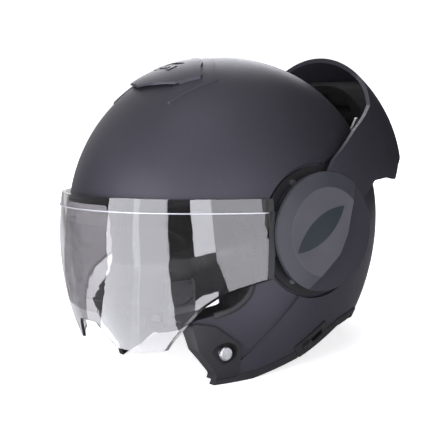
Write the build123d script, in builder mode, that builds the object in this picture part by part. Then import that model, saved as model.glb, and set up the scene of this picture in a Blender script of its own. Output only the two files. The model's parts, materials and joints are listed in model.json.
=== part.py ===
from build123d import *
import os
from math import acos, atan2, cos, degrees, radians, sin, sqrt

# Flip-over modular helmet, worn upright while it is modelled: X to the wearer's left,
# the face towards -Y, Z up, with the origin at ear height in the middle of the head.
# Millimetres. At the end every piece is tipped back onto the surface the helmet stands on.

# Outer form of the shell
half_width = 121.0
half_length = 135.0
crown_height = 134.0
form_centre_y = -6.0
side_drop = 190.0
front_drop = 200.0
rear_drop = 143.0
drop_section_shares = (0.0, 0.25, 0.5, 0.75, 0.9)

# Walls and clearances
shell_wall = 6.0
liner_gap = 0.3
eps_thickness = 21.0
crown_pad_thickness = 8.0
running_gap = 0.5
pin_clearance = 0.05
overrun = 5.0
trim_height = 7.0
trim_proud = 0.8

# Side pivot, left and right alike
pivot_y = 2.0
pivot_z = -4.0
side_flat_x = 110.0
side_flat_radius = 53.0
pod_wall = 5.0
base_flange_radius = 50.0
base_flange_thickness = 2.0
base_boss_radius = 37.9
base_boss_height = 6.8
carrier_travel = 22.6
carrier_heading = 205.1
carrier_width = 18.0
carrier_length = 24.0
carrier_thickness = 4.4
hub_pin_radius = 8.0
hub_boss_radius = 20.0
hub_plate_thickness = 2.5
hub_plate_radius = 46.5
cover_height = 4.2
cover_bevel = 12.0
inlay_y = -4.6
inlay_z = -1.5
inlay_length = 58.0
inlay_width = 18.5
inlay_tilt = 37.0
inlay_depth = 0.8

# Visor
visor_half_width = 125.2
visor_half_length = 143.0
visor_half_height = 177.0
visor_centre_z = -12.0
visor_wall = 2.5
visor_ring_width = 6.0
visor_ring_thickness = 2.0
visor_band = 11.0
visor_band_proud = 0.7
antifog_wall = 1.2

# Chin bar, flipped to the back of the shell
bar_half_width = 126.0
bar_half_length = 150.5
bar_half_height = 128.0
bar_centre_y = 8.0
bar_centre_z = 32.4
bar_wall = 3.5
bar_liner_thickness = 13.0

# Sun visor, raised into the shell
sun_radius = 126.0
sun_half_width = 112.0
sun_wall = 2.0
sun_side_x = 104.2
sun_side_wall = 1.8
sun_hub_radius = 8.0
sun_pin_radius = 3.0
sun_low_angle = 9.0
sun_span = 33.0
sun_travel = 36.0
sun_pocket_gap = 1.2

# Seats behind the side covers
shoe_gap = 0.2
hub_boss_x = 117.3
hub_plate_x = 122.3
cover_bevel_drop = 2.6

# Visor edges and arms
visor_front_y = 48.0
visor_frame_y = 43.0
web_length = 7.0
web_height = 34.0
web_depth = 4.9

# Jaw latch block and striker stud, left and right alike
block_wall = 8.0
striker_y = -66.8
striker_z = -97.6
striker_radius = 3.5
striker_head_radius = 5.5
striker_head = 2.4
striker_shank = 6.0
striker_length = 5.0
striker_pocket_x = 84.0
striker_pocket_radius = 9.0

# Chin vent and release button, on the middle line of the chin bar
bar_column_height = 100.0
vent_z = 74.0
vent_length = 74.0
vent_height = 26.0
vent_corner = 6.0
vent_proud = 1.5
vent_slot_length = 14.0
vent_slot_height = 12.0
vent_slot_corner = 2.0
vent_slot_pitch = 50.0
shutter_length = 20.0
shutter_height = 11.0
shutter_thickness = 1.4
shutter_grip = 3.0
shutter_travel = 7.0
shutter_pocket = 1.8
button_z = 108.0
button_length = 26.0
button_height = 12.0
button_corner = 4.0
button_gap = 0.3
button_foot = 1.5
button_inside = 6.0
button_proud = 2.5
button_travel = 3.0

# Liners and pads
eps_lift = 25.0
sun_pocket_margin = 3.0
cheek_x = 90.0
cheek_y = -24.0
cheek_z = -58.0
cheek_depth = 31.0
cheek_length = 96.0
cheek_height = 80.0
roll_radius = 11.0
roll_level = 82.0
roll_tilt = 14.0
roll_span = 110.0
crown_pad_shares = ((-1.0, 0.22), (0.1, 0.0), (1.0, -0.02), (1.0, 1.2), (-1.0, 1.2))
crown_pad_corner = 4.0

# Top vent and its slider
scoop_shift = 5.0
scoop_proud = 1.4
scoop_lip = 1.5
wing_shift = 1.2
wing_proud = 0.6
slider_y = -60.0
slider_floor = 1.8
slider_length = 24.0
slider_width = 9.0
slider_thickness = 1.2
slider_travel = 8.0
slider_corner = 1.5

# Brow seal and the sun visor's lever at the left rim
seal_height = 3.0
seal_low_share = 0.05
lever_y = 6.0
lever_z = -92.0
lever_slope = 35.0
lever_housing_length = 34.0
lever_housing_height = 12.0
lever_corner = 2.0
lever_proud = 1.4
lever_inside = 3.0
lever_length = 9.0
lever_width = 4.0
lever_travel = 12.0
lever_x = 99.0
lever_depth = 8.0
lever_tab = 2.0

# Chin straps and ratchet buckle, unfastened and tucked inside
strap_shares = ((0.735, -0.705), (0.735, -0.785), (0.65, -0.82), (0.47, -0.80), (0.43, -0.46))
strap_y = -22.0
strap_width = 22.0
strap_thickness = 2.0
strap_bend = 4.0
anchor_height = 12.0
anchor_thickness = 1.5
anchor_rivet = 4.0
tongue_length = 40.0
tongue_thickness = 2.0
tongue_pitch = 3.0
tongue_teeth = 9
tongue_tooth_share = 0.6
buckle_length = 38.0
buckle_width = 28.0
buckle_depth = 8.0
buckle_floor = 1.5
buckle_cheek = 2.0
buckle_pin = 1.5
lever_reach = 30.0

# Small parts behind the walls
tray_wall = 1.5
screw_count = 6
screw_radius = 2.5
screw_head = 1.6
pawl_y = 52.0
pawl_z = 79.0
pawl_x = 98.5
pawl_heading = -30.0
pawl_length = 18.0
pawl_width = 12.0
pawl_corner = 1.5
pawl_thickness = 2.4
pawl_block = 6.0
pawl_block_height = 2.0
guide_wall = 2.0

# Side view outlines, as shares of half_length and crown_height; y grows to the back
port_shares = ((-1.26, 0.12), (-0.61, 0.12), (-0.44, 0.05), (-0.40, -0.07), (-0.40, -0.36),
               (-0.47, -0.46), (-0.69, -0.54), (-0.62, -0.72), (-0.50, -0.87), (-0.50, -1.15),
               (-1.26, -1.15))
port_corner = 6.0
rim_shares = ((-0.80, -0.99), (-0.30, -0.90), (0.0, -0.78), (0.26, -0.635), (0.48, -0.60),
              (0.70, -0.72), (1.20, -0.63), (1.20, -1.40), (-0.80, -1.40))
rim_corner = 9.0
recess_shares = ((-0.30, 0.19), (-0.05, 0.31), (0.15, 0.39), (0.35, 0.44), (0.20, 0.10),
                 (0.165, -0.12), (-0.08, -0.365), (-0.40, -0.78), (-0.46, -1.15), (-1.26, -1.15),
                 (-1.26, -0.30), (-0.30, -0.10))
recess_depth = 2.5
recess_corner = 3.0
cover_shares = ((-0.50, -0.50), (-0.125, -0.37), (0.11, -0.165), (0.165, -0.05), (0.19, 0.07),
                (0.235, 0.25), (0.26, 0.50), (-0.50, 0.50))
cover_corner = 8.0
bar_shares = ((0.08, 0.38), (0.29, 0.55), (0.54, 0.70), (0.70, 0.90), (0.74, 1.27), (1.41, 1.27),
              (1.41, 0.41), (0.93, 0.38), (0.80, 0.33), (0.72, 0.24), (0.59, 0.26), (0.44, 0.25),
              (0.33, 0.15), (0.15, -0.03), (0.0, 0.0), (-0.02, 0.22))
bar_corner = 5.0
bar_liner_shares = ((0.74, 0.86), (1.41, 0.86), (1.41, 0.40), (0.74, 0.40))
bar_liner_corner = 8.0
latch_block_shares = ((-0.75, -0.54), (-0.58, -0.56), (-0.42, -0.68), (-0.38, -0.88),
                      (-0.75, -0.95))
latch_block_corner = 4.0

# Front view outline of the visor, as shares of visor_half_width and visor_half_height
visor_shares = ((1.05, 0.13), (1.05, -0.203), (0.944, -0.215), (0.817, -0.282),
                (0.746, -0.336), (0.635, -0.44), (0.524, -0.537), (0.397, -0.554),
                (0.222, -0.542), (0.103, -0.435))
visor_corner = 4.0
antifog_shares = (0.72, 0.0, -0.33)
antifog_corner = 14.0

# Plan outlines of the top vent, as shares of half_width and half_length
scoop_shares = ((0.0, -0.674), (0.14, -0.64), (0.286, -0.575), (0.37, -0.43), (0.255, -0.375),
                (0.19, -0.32), (0.0, -0.25))
scoop_corner = 2.0
mouth_shares = ((0.0, -0.84), (0.40, -0.80), (0.40, -0.545), (0.20, -0.555), (0.0, -0.60))
mouth_corner = 2.0
wing_shares = ((0.0, -0.60), (0.24, -0.55), (0.30, -0.60), (0.359, -0.676), (0.439, -0.36),
               (0.334, -0.325), (0.16, -0.215), (0.0, -0.19))
wing_corner = 1.5


def at(shares, wide=half_length, high=crown_height):
    """Points of an outline from its shares of two named sizes."""
    return [(x * wide, y * high) for x, y in shares]


def mirrored(points):
    """A half outline, given from its top right corner down, with its left half added."""
    return points + [(-x, y) for x, y in reversed(points)]


def side_prism(shares, corner, lift=0):
    """A side view outline run through the helmet from left to right."""
    with BuildPart() as prism:
        with BuildSketch(Plane(origin=(0, 0, lift), x_dir=(0, 1, 0), z_dir=(1, 0, 0))):
            with BuildLine():
                FilletPolyline(*at(shares), radius=corner, close=True)
            make_face()
        extrude(amount=2 * half_width, both=True)
    return prism.part


def ellipsoid(side, length, height, centre_y, centre_z):
    """A whole ellipsoid on the middle plane."""
    with BuildPart() as ball:
        Sphere(1)
        scale(by=(side, length, height))
    return Pos(0, centre_y, centre_z) * ball.part


def dome(inset):
    """The upper half of the head form."""
    return ellipsoid(half_width - inset, half_length - inset, crown_height - inset,
                     form_centre_y, 0) & upper_space()


def upper_space():
    """Everything above ear height."""
    with BuildPart() as space:
        Box(4 * half_width, 4 * half_length, 2 * crown_height,
            align=(Align.CENTER, Align.CENTER, Align.MIN))
    return space.part


def skirt(inset):
    """The lower half, egg shaped in plan and drawn in more at the nape than at the jaw."""
    with BuildPart() as lower:
        for share in drop_section_shares:
            level = share * rear_drop
            side = (half_width - inset) * sqrt(1 - (level / side_drop) ** 2)
            front = (half_length - inset) * sqrt(1 - (level / front_drop) ** 2)
            rear = (half_length - inset) * sqrt(1 - (level / rear_drop) ** 2)
            centre = (0, form_centre_y)
            with BuildSketch(Plane.XY.offset(-level)):
                with BuildLine():
                    EllipticalCenterArc(centre, side, rear, start_angle=0, arc_size=180)
                    EllipticalCenterArc(centre, side, front, start_angle=180, arc_size=180)
                make_face()
        loft()
    return lower.part


def head_form(inset):
    return dome(inset) + skirt(inset)


def side_discs(radius, inner_x, outer_x):
    """A pair of discs about the pivots, one on each side."""
    with BuildPart() as discs:
        with BuildSketch(Plane.YZ.offset(inner_x)):
            with Locations((pivot_y, pivot_z)):
                Circle(radius)
        extrude(amount=outer_x - inner_x)
        mirror(about=Plane.YZ)
    return discs.part


def other_side(piece):
    return mirror(piece, about=Plane.YZ)



def outer_shell():
    with BuildPart() as shell:
        add(head_form(0))
        add(side_discs(side_flat_radius, side_flat_x, half_width + overrun), mode=Mode.SUBTRACT)
        add(side_prism(recess_shares, recess_corner) - head_form(recess_depth), mode=Mode.SUBTRACT)
        add(head_form(shell_wall) - side_discs(side_flat_radius + pod_wall, side_flat_x - pod_wall,
                                               half_width), mode=Mode.SUBTRACT)
        add(side_prism(port_shares, port_corner), mode=Mode.SUBTRACT)
        add(side_prism(rim_shares, rim_corner, trim_height), mode=Mode.SUBTRACT)
        add(side_prism(port_shares, port_corner, seal_height), mode=Mode.SUBTRACT)
        add(side_prism(latch_block_shares, latch_block_corner), mode=Mode.SUBTRACT)
        add(lever_prism(liner_gap), mode=Mode.SUBTRACT)
    return shell.part


def brow_seal():
    """The rubber bead along the brow edge that the closed visor meets."""
    with BuildPart() as seal:
        add(head_form(-trim_proud))
        add(head_form(shell_wall), mode=Mode.SUBTRACT)
        add(side_prism(port_shares, port_corner, seal_height), mode=Mode.INTERSECT)
        add(side_prism(port_shares, port_corner), mode=Mode.SUBTRACT)
        with BuildSketch(Plane.XY.offset(seal_low_share * crown_height)):
            Rectangle(3 * half_width, 4 * half_length)
        extrude(amount=crown_height, mode=Mode.INTERSECT)
    return seal.part


def lever_prism(grow):
    """The block of space at the left rim that the sun visor's lever housing takes."""
    with BuildPart() as space:
        with BuildSketch(Plane.YZ):
            with Locations(Location((lever_y, lever_z, 0), (0, 0, lever_slope))):
                RectangleRounded(lever_housing_length + 2 * grow,
                                 lever_housing_height + 2 * grow, lever_corner)
        extrude(amount=2 * half_width)
    return space.part


def lever_slot(length, width, from_x, to_x, along):
    heading = radians(lever_slope)
    with BuildPart() as slot:
        with BuildSketch(Plane.YZ.offset(from_x)):
            with Locations(Location((lever_y + along * cos(heading),
                                     lever_z + along * sin(heading), 0), (0, 0, lever_slope))):
                Rectangle(length, width)
        extrude(amount=to_x - from_x)
    return slot.part


def sun_lever_housing():
    inside = shell_wall + lever_inside
    with BuildPart() as housing:
        add(lever_prism(0))
        add(skirt(-lever_proud), mode=Mode.INTERSECT)
        add(skirt(inside), mode=Mode.SUBTRACT)
        add(lever_slot(lever_length + lever_travel + 2 * button_gap, lever_width + 2 * button_gap,
                       0, 2 * half_width, 0), mode=Mode.SUBTRACT)
    return housing.part


def sun_lever():
    start = -lever_travel / 2
    tab_x = lever_x + lever_depth - lever_tab
    with BuildPart() as lever:
        add(lever_slot(lever_length, lever_width, lever_x, lever_x + lever_depth, start))
        add(lever_slot(lever_length - 2 * lever_tab, lever_width - 2 * button_gap,
                       tab_x + lever_tab, tab_x + 2 * lever_tab, start))
    return lever.part


def strap():
    """The left chin strap, hanging from its anchor and tucked up inside the cheek pad."""
    points = at(strap_shares, half_width, crown_height)
    with BuildPart() as webbing:
        with BuildSketch(Plane.XZ.offset(-strap_y - strap_width / 2)):
            with BuildLine():
                FilletPolyline(*points, radius=strap_bend)
            trace(line_width=strap_thickness)
        extrude(amount=strap_width)
        anchor_x, anchor_z = points[0]
        with BuildSketch(Plane.YZ.offset(anchor_x - 2 * strap_thickness)):
            with Locations((strap_y, anchor_z - anchor_height / 2)):
                Circle(anchor_rivet + pin_clearance)
        extrude(amount=4 * strap_thickness, mode=Mode.SUBTRACT)
    return webbing.part


def strap_anchors():
    """Rivet plates that hold the strap ends to the inside of the shell."""
    anchor_x, anchor_z = at(strap_shares[:1], half_width, crown_height)[0]
    drop = anchor_z - anchor_height / 2
    lowest = drop - anchor_rivet
    side = (half_width - shell_wall) * sqrt(1 - (lowest / side_drop) ** 2)
    front = (half_length - shell_wall) * sqrt(1 - (lowest / front_drop) ** 2)
    forward = form_centre_y - strap_y + anchor_rivet
    reach = side * sqrt(1 - (forward / front) ** 2)
    with BuildPart() as plates:
        with BuildSketch(Plane.YZ.offset(anchor_x + strap_thickness / 2 + button_gap)):
            with Locations((strap_y, drop)):
                RectangleRounded(strap_width, anchor_height, lever_corner)
        extrude(amount=anchor_thickness)
        with BuildSketch(Plane.YZ.offset(anchor_x)):
            with Locations((strap_y, drop)):
                Circle(anchor_rivet)
        extrude(amount=reach - anchor_x)
        with BuildSketch(Plane.YZ.offset(anchor_x - strap_thickness)):
            with Locations((strap_y, drop)):
                Circle(anchor_rivet)
        extrude(amount=strap_thickness)
    return plates.part + other_side(plates.part)


def buckle_frame(length, width, depth, start):
    """A block on the strap's inner run, start above the run's lower end, depth thick."""
    inner_x, top_z = at(strap_shares[-1:], half_width, crown_height)[0]
    face = inner_x - strap_thickness / 2 - button_gap
    with BuildPart() as block:
        with BuildSketch(Plane.YZ.offset(face - start)):
            with Locations((strap_y, top_z - length / 2)):
                RectangleRounded(width, length, lever_corner)
        extrude(amount=-depth)
    return block.part


def buckle_tongue():
    """The toothed tongue on the end of the left strap."""
    inner_x, top_z = at(strap_shares[-1:], half_width, crown_height)[0]
    face = inner_x - strap_thickness / 2 - button_gap - tongue_thickness
    with BuildPart() as tongue:
        add(buckle_frame(tongue_length, strap_width, tongue_thickness, 0))
        with BuildSketch(Plane.YZ.offset(face)):
            with GridLocations(0, tongue_pitch, 1, tongue_teeth):
                with Locations((strap_y, top_z - tongue_length / 2)):
                    Rectangle(strap_width * tongue_tooth_share, tongue_pitch / 2)
        extrude(amount=-tongue_thickness / 2)
    return tongue.part


def buckle_body():
    """The ratchet buckle on the right strap: a channel between two cheeks."""
    with BuildPart() as body:
        add(buckle_frame(buckle_length, buckle_width, buckle_depth, 0))
        add(buckle_frame(buckle_length + 2 * overrun, buckle_width - 2 * buckle_cheek,
                         buckle_depth, buckle_floor), mode=Mode.SUBTRACT)
    return other_side(body.part)


def buckle_pin_place():
    inner_x, top_z = at(strap_shares[-1:], half_width, crown_height)[0]
    x = inner_x - strap_thickness / 2 - button_gap - buckle_depth + buckle_pin + tray_wall
    return x, top_z - buckle_length + 2 * buckle_pin + tray_wall


def buckle_pin_rod():
    """The buckle's hinge pin, across its two cheeks."""
    x, z = buckle_pin_place()
    with BuildPart() as rod:
        with BuildSketch(Plane.XZ.offset(-strap_y)):
            with Locations((x, z)):
                Circle(buckle_pin)
        extrude(amount=buckle_width / 2 - buckle_cheek - pin_clearance, both=True)
    return other_side(rod.part)


def buckle_lever():
    """The release lever between the cheeks, with its barrel round the hinge pin."""
    x, z = buckle_pin_place()
    width = buckle_width - 2 * buckle_cheek - 2 * button_gap
    with BuildPart() as lever:
        with BuildSketch(Plane.XZ.offset(-strap_y)):
            with Locations((x, z)):
                Circle(buckle_pin + tray_wall)
            with Locations((x - tray_wall / 2 - button_gap, z + lever_reach / 2)):
                Rectangle(tray_wall, lever_reach)
            with Locations((x, z)):
                Circle(buckle_pin + pin_clearance, mode=Mode.SUBTRACT)
        extrude(amount=width / 2, both=True)
    return other_side(lever.part)


def base_screws():
    """The screws that hold each base plate's flange, left and right."""
    with BuildPart() as screws:
        with BuildSketch(Plane.YZ.offset(side_flat_x + base_flange_thickness)):
            with Locations((pivot_y, pivot_z)):
                with PolarLocations((base_boss_radius + base_flange_radius) / 2, screw_count):
                    Circle(screw_radius)
        extrude(amount=screw_head)
        mirror(about=Plane.YZ)
    return screws.part


def base_trim():
    """The rubber edging round the bottom rim, cut flat where the helmet stands."""
    with BuildPart() as trim:
        add(skirt(-trim_proud))
        add(skirt(shell_wall + trim_proud), mode=Mode.SUBTRACT)
        add(side_prism(rim_shares, rim_corner, trim_height), mode=Mode.INTERSECT)
        add(side_prism(rim_shares, rim_corner), mode=Mode.SUBTRACT)
        add(side_prism(port_shares, port_corner), mode=Mode.SUBTRACT)
        add(side_prism(latch_block_shares, latch_block_corner), mode=Mode.SUBTRACT)
        add(lever_prism(liner_gap), mode=Mode.SUBTRACT)
    return trim.part


def latch_block():
    """The black block at the front of the left jaw that the closed chin bar latches on."""
    with BuildPart() as block:
        add(side_prism(latch_block_shares, latch_block_corner))
        add(head_form(0), mode=Mode.INTERSECT)
        add(head_form(shell_wall + block_wall), mode=Mode.SUBTRACT)
        add(side_prism(port_shares, port_corner), mode=Mode.SUBTRACT)
        add(side_prism(rim_shares, rim_corner), mode=Mode.SUBTRACT)
        with BuildSketch(Plane.YZ.offset(striker_pocket_x)):
            with Locations((striker_y, striker_z)):
                Circle(striker_pocket_radius)
        extrude(amount=half_width, mode=Mode.SUBTRACT)
        with BuildSketch(Plane.YZ.offset(striker_pocket_x - striker_shank)):
            with Locations((striker_y, striker_z)):
                Circle(striker_radius)
        extrude(amount=half_width, mode=Mode.SUBTRACT)
        split(bisect_by=Plane.YZ, keep=Keep.TOP)
    return block.part


def striker():
    """The left striker stud: a shank pressed in the block and a round head."""
    with BuildPart() as stud:
        with BuildSketch(Plane.YZ.offset(striker_pocket_x - striker_shank)):
            with Locations((striker_y, striker_z)):
                Circle(striker_radius)
        extrude(amount=striker_shank + striker_length)
        with BuildSketch(Plane.YZ.offset(striker_pocket_x + striker_length)):
            with Locations((striker_y, striker_z)):
                Circle(striker_head_radius)
        extrude(amount=striker_head)
        chamfer(stud.faces().sort_by(Axis.X)[-1].edges(), striker_head / 3)
    return stud.part


def sun_plane(angle):
    """A plane through the sun visor's axis, leaning back from straight ahead by angle."""
    lean = radians(angle)
    return Plane(origin=(0, form_centre_y, 0), x_dir=(1, 0, 0), z_dir=(0, -sin(lean), -cos(lean)))


def sun_bowl(grow, top_angle, span, hub):
    """Part of a barrel about the sun visor's axis: the lens band and its two side plates."""
    outer_side = sun_side_x + min(grow, liner_gap)
    inner_side = sun_side_x - sun_side_wall - grow
    wide_out = sun_half_width + grow
    wide_in = sun_half_width - sun_wall - grow
    start_out = degrees(acos(outer_side / wide_out))
    start_in = degrees(acos(inner_side / wide_in))
    with BuildPart() as bowl:
        with BuildSketch(sun_plane(top_angle)):
            with BuildLine():
                out = EllipticalCenterArc((0, 0), wide_out, sun_radius + grow,
                                          start_angle=start_out, arc_size=180 - 2 * start_out)
                ins = EllipticalCenterArc((0, 0), wide_in, sun_radius - sun_wall - grow,
                                          start_angle=start_in, arc_size=180 - 2 * start_in)
                Polyline(out @ 0, (outer_side, hub), (inner_side, hub), ins @ 0)
                Polyline(out @ 1, (-outer_side, hub), (-inner_side, hub), ins @ 1)
            make_face()
        revolve(axis=Axis((0, form_centre_y, 0), (1, 0, 0)), revolution_arc=span)
    return bowl.part


def hub_rings(outer, inner, from_x, to_x):
    """Rings about the sun visor's axis, one on each side."""
    with BuildPart() as rings:
        with BuildSketch(Plane.YZ.offset(from_x)):
            with Locations((form_centre_y, 0)):
                Circle(outer)
                if inner:
                    Circle(inner, mode=Mode.SUBTRACT)
        extrude(amount=to_x - from_x)
        mirror(about=Plane.YZ)
    return rings.part


def sun_visor():
    bore = sun_pin_radius + pin_clearance
    with BuildPart() as shade:
        add(sun_bowl(0, sun_low_angle + sun_span, sun_span, (bore + sun_hub_radius) / 2))
        add(hub_rings(sun_hub_radius, bore, sun_side_x - sun_side_wall, sun_side_x))
        add(hub_rings(bore, 0, sun_side_x - 2 * sun_side_wall, sun_side_x + sun_side_wall),
            mode=Mode.SUBTRACT)
    return shade.part


def sun_pins():
    return hub_rings(sun_pin_radius, 0, sun_side_x - sun_side_wall - sun_pocket_gap,
                     side_flat_x - pod_wall)


def eps_liner():
    hollow = shell_wall + liner_gap + eps_thickness
    with BuildPart() as liner:
        add(head_form(shell_wall + liner_gap))
        add(side_discs(side_flat_radius + pod_wall + liner_gap, side_flat_x - pod_wall - liner_gap,
                       half_width), mode=Mode.SUBTRACT)
        add(head_form(hollow), mode=Mode.SUBTRACT)
        add(side_prism(port_shares, port_corner), mode=Mode.SUBTRACT)
        add(side_prism(latch_block_shares, latch_block_corner), mode=Mode.SUBTRACT)
        add(side_prism(rim_shares, rim_corner, eps_lift), mode=Mode.SUBTRACT)
        add(sun_bowl(sun_pocket_gap, sun_low_angle + sun_span + sun_pocket_margin,
                     sun_span + sun_travel + 2 * sun_pocket_margin, sun_hub_radius),
            mode=Mode.SUBTRACT)
        add(hub_rings(sun_hub_radius + sun_pocket_gap, 0,
                      sun_side_x - sun_side_wall - sun_pocket_gap, side_flat_x),
            mode=Mode.SUBTRACT)
    return liner.part


def crown_pad():
    outside = shell_wall + liner_gap + eps_thickness + running_gap
    with BuildPart() as pad:
        add(dome(outside))
        add(dome(outside + crown_pad_thickness), mode=Mode.SUBTRACT)
        add(side_prism(crown_pad_shares, crown_pad_corner), mode=Mode.INTERSECT)
    return pad.part


def cheek_pad():
    """The left cheek pad, crowned towards the face and nested in the liner."""
    inset = shell_wall + liner_gap + eps_thickness + running_gap
    with BuildPart() as pad:
        add(ellipsoid(cheek_depth, cheek_length / 2, cheek_height / 2, cheek_y, cheek_z)
            .moved(Location((cheek_x, 0, 0))))
        add(head_form(inset), mode=Mode.INTERSECT)
    return pad.part


def neck_roll():
    """The padded roll at the nape, climbing a little towards the ears."""
    inside = shell_wall + roll_radius
    ring = sqrt(1 - (roll_level / rear_drop) ** 2) * half_length - inside
    with BuildPart() as roll:
        Torus(ring, roll_radius, major_angle=roll_span, rotation=(0, 0, 90 - roll_span / 2),
              align=None)
    lean = Location((0, 0, 0), (-roll_tilt, 0, 0))
    return Pos(0, form_centre_y, -roll_level + ring * sin(radians(roll_tilt))) * lean * roll.part


def pivot_slot(width, length, travel):
    """The slot or shoe outline on the current sketch plane, along the carrier's heading."""
    heading = radians(carrier_heading)
    middle = (pivot_y + cos(heading) * travel / 2, pivot_z + sin(heading) * travel / 2)
    with Locations(Location((middle[0], middle[1], 0), (0, 0, carrier_heading))):
        SlotOverall(length + travel, width)


def pivot_base():
    """The left base plate: a flange screwed to the shell, and the boss the visor turns on."""
    with BuildPart() as base:
        with BuildSketch(Plane.YZ.offset(side_flat_x)):
            with Locations((pivot_y, pivot_z)):
                Circle(base_flange_radius)
        extrude(amount=base_flange_thickness)
        with BuildSketch(Plane.YZ.offset(side_flat_x + base_flange_thickness)):
            with Locations((pivot_y, pivot_z)):
                Circle(base_boss_radius)
        extrude(amount=base_boss_height - base_flange_thickness)
        with BuildSketch(Plane.YZ.offset(side_flat_x + base_flange_thickness)):
            pivot_slot(carrier_width + 2 * pin_clearance, carrier_length + 2 * pin_clearance,
                       carrier_travel)
        extrude(amount=base_boss_height, mode=Mode.SUBTRACT)
    return base.part


def pivot_carrier():
    """The left shoe that slides in the base's slot and carries the chin bar's hub pin."""
    shoe_x = side_flat_x + base_flange_thickness + shoe_gap
    with BuildPart() as carrier:
        with BuildSketch(Plane.YZ.offset(shoe_x)):
            pivot_slot(carrier_width, carrier_length, 0)
        extrude(amount=carrier_thickness)
        with BuildSketch(Plane.YZ.offset(shoe_x + carrier_thickness)):
            with Locations((pivot_y, pivot_z)):
                Circle(hub_pin_radius)
        extrude(amount=hub_plate_x + hub_plate_thickness - shoe_gap - shoe_x - carrier_thickness)
    return carrier.part


def bar_form(inset):
    """The chin bar's form at the back: upright sides below and a half ellipsoid above."""
    side = bar_half_width - inset
    length = bar_half_length - inset
    with BuildPart() as column:
        with BuildSketch(Plane.XY.offset(bar_centre_z)):
            with Locations((0, bar_centre_y)):
                Ellipse(side, length)
        extrude(amount=-bar_column_height)
    cap = ellipsoid(side, length, bar_half_height - inset, bar_centre_y, 0) & upper_space()
    return column.part + Pos(0, 0, bar_centre_z) * cap


def chin_bar():
    with BuildPart() as bar:
        add(bar_form(0))
        add(bar_form(bar_wall), mode=Mode.SUBTRACT)
        add(side_prism(bar_shares, bar_corner)
            + side_discs(hub_plate_radius, 0, 2 * half_width), mode=Mode.INTERSECT)
        add(side_discs(hub_plate_radius, 0, hub_plate_x), mode=Mode.SUBTRACT)
        add(side_discs(hub_plate_radius, hub_plate_x, hub_plate_x + hub_plate_thickness))
        add(side_discs(hub_plate_radius + liner_gap, hub_plate_x + hub_plate_thickness,
                       2 * half_width), mode=Mode.SUBTRACT)
        add(side_discs(hub_boss_radius, hub_boss_x, hub_plate_x))
        add(side_discs(hub_pin_radius + pin_clearance, side_flat_x, 2 * half_width),
            mode=Mode.SUBTRACT)
        add(vent_prism(vent_length, vent_height, -2 * bar_liner_thickness, overrun,
                       vent_corner), mode=Mode.SUBTRACT)
        add(button_prism(button_length + 2 * button_gap, button_height + 2 * button_gap,
                         -2 * bar_liner_thickness, overrun, button_corner), mode=Mode.SUBTRACT)
    return bar.part


def chin_bar_liner():
    with BuildPart() as liner:
        add(bar_form(bar_wall + liner_gap))
        add(bar_form(bar_wall + liner_gap + bar_liner_thickness), mode=Mode.SUBTRACT)
        add(side_prism(bar_liner_shares, bar_liner_corner), mode=Mode.INTERSECT)
        add(vent_prism(vent_length + overrun, vent_height + overrun, -2 * bar_liner_thickness,
                       overrun, vent_corner), mode=Mode.SUBTRACT)
        add(button_prism(button_length + 2 * overrun, button_height + 2 * overrun,
                         -2 * bar_liner_thickness, overrun, button_corner), mode=Mode.SUBTRACT)
    return liner.part


def tilted_plane(y, z, normal_y, normal_z):
    """A plane across the middle of the helmet with its x to the left."""
    return Plane(origin=(0, y, z), x_dir=(1, 0, 0), z_dir=(0, normal_y, normal_z))


def bar_surface(height):
    """The plane that touches the chin bar's outside on the middle line, at a height."""
    up = (height - bar_centre_z) / bar_half_height
    back = sqrt(1 - up ** 2)
    return tilted_plane(bar_centre_y + bar_half_length * back, height, back / bar_half_length,
                        up / bar_half_height)


def plane_prism(plane, length, width, low, high, corner):
    with BuildPart() as block:
        with BuildSketch(plane.offset(low)):
            RectangleRounded(length, width, corner)
        extrude(amount=high - low)
    return block.part


def vent_prism(length, width, low, high, corner):
    return plane_prism(bar_surface(vent_z), length, width, low, high, corner)


def button_prism(length, width, low, high, corner):
    return plane_prism(bar_surface(button_z), length, width, low, high, corner)


def chin_vent():
    """The framed chin vent: two air slots beside the pocket of its shutter."""
    reach = 2 * bar_liner_thickness
    with BuildPart() as frame:
        add(vent_prism(vent_length - liner_gap, vent_height - liner_gap, -reach, reach,
                       vent_corner))
        add(bar_form(-vent_proud), mode=Mode.INTERSECT)
        add(bar_form(bar_wall), mode=Mode.SUBTRACT)
        with BuildSketch(bar_surface(vent_z).offset(-reach)):
            with Locations((vent_slot_pitch / 2, 0), (-vent_slot_pitch / 2, 0)):
                RectangleRounded(vent_slot_length, vent_slot_height, vent_slot_corner)
        extrude(amount=2 * reach, mode=Mode.SUBTRACT)
        with BuildSketch(bar_surface(vent_z).offset(vent_proud - shutter_pocket)):
            RectangleRounded(shutter_length + shutter_travel + 2 * button_gap,
                             shutter_height + 2 * button_gap, vent_slot_corner)
        extrude(amount=reach, mode=Mode.SUBTRACT)
    return frame.part


def chin_vent_shutter():
    plane = bar_surface(vent_z).offset(vent_proud - shutter_pocket + button_gap)
    with BuildPart() as shutter:
        with BuildSketch(plane):
            with Locations((-shutter_travel / 2, 0)):
                RectangleRounded(shutter_length, shutter_height, vent_slot_corner)
        extrude(amount=shutter_thickness)
        with BuildSketch(plane.offset(shutter_thickness)):
            with Locations((-shutter_travel / 2, 0)):
                Rectangle(shutter_grip, shutter_height - 2 * vent_slot_corner)
        extrude(amount=shutter_thickness / 2)
    return shutter.part


def release_button():
    with BuildPart() as button:
        add(button_prism(button_length, button_height, -button_inside, button_proud,
                         button_corner - button_gap))
        add(button_prism(button_length + 2 * button_foot, button_height + 2 * button_foot,
                         -button_inside - button_foot, -button_inside, button_corner))
    return button.part


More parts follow.
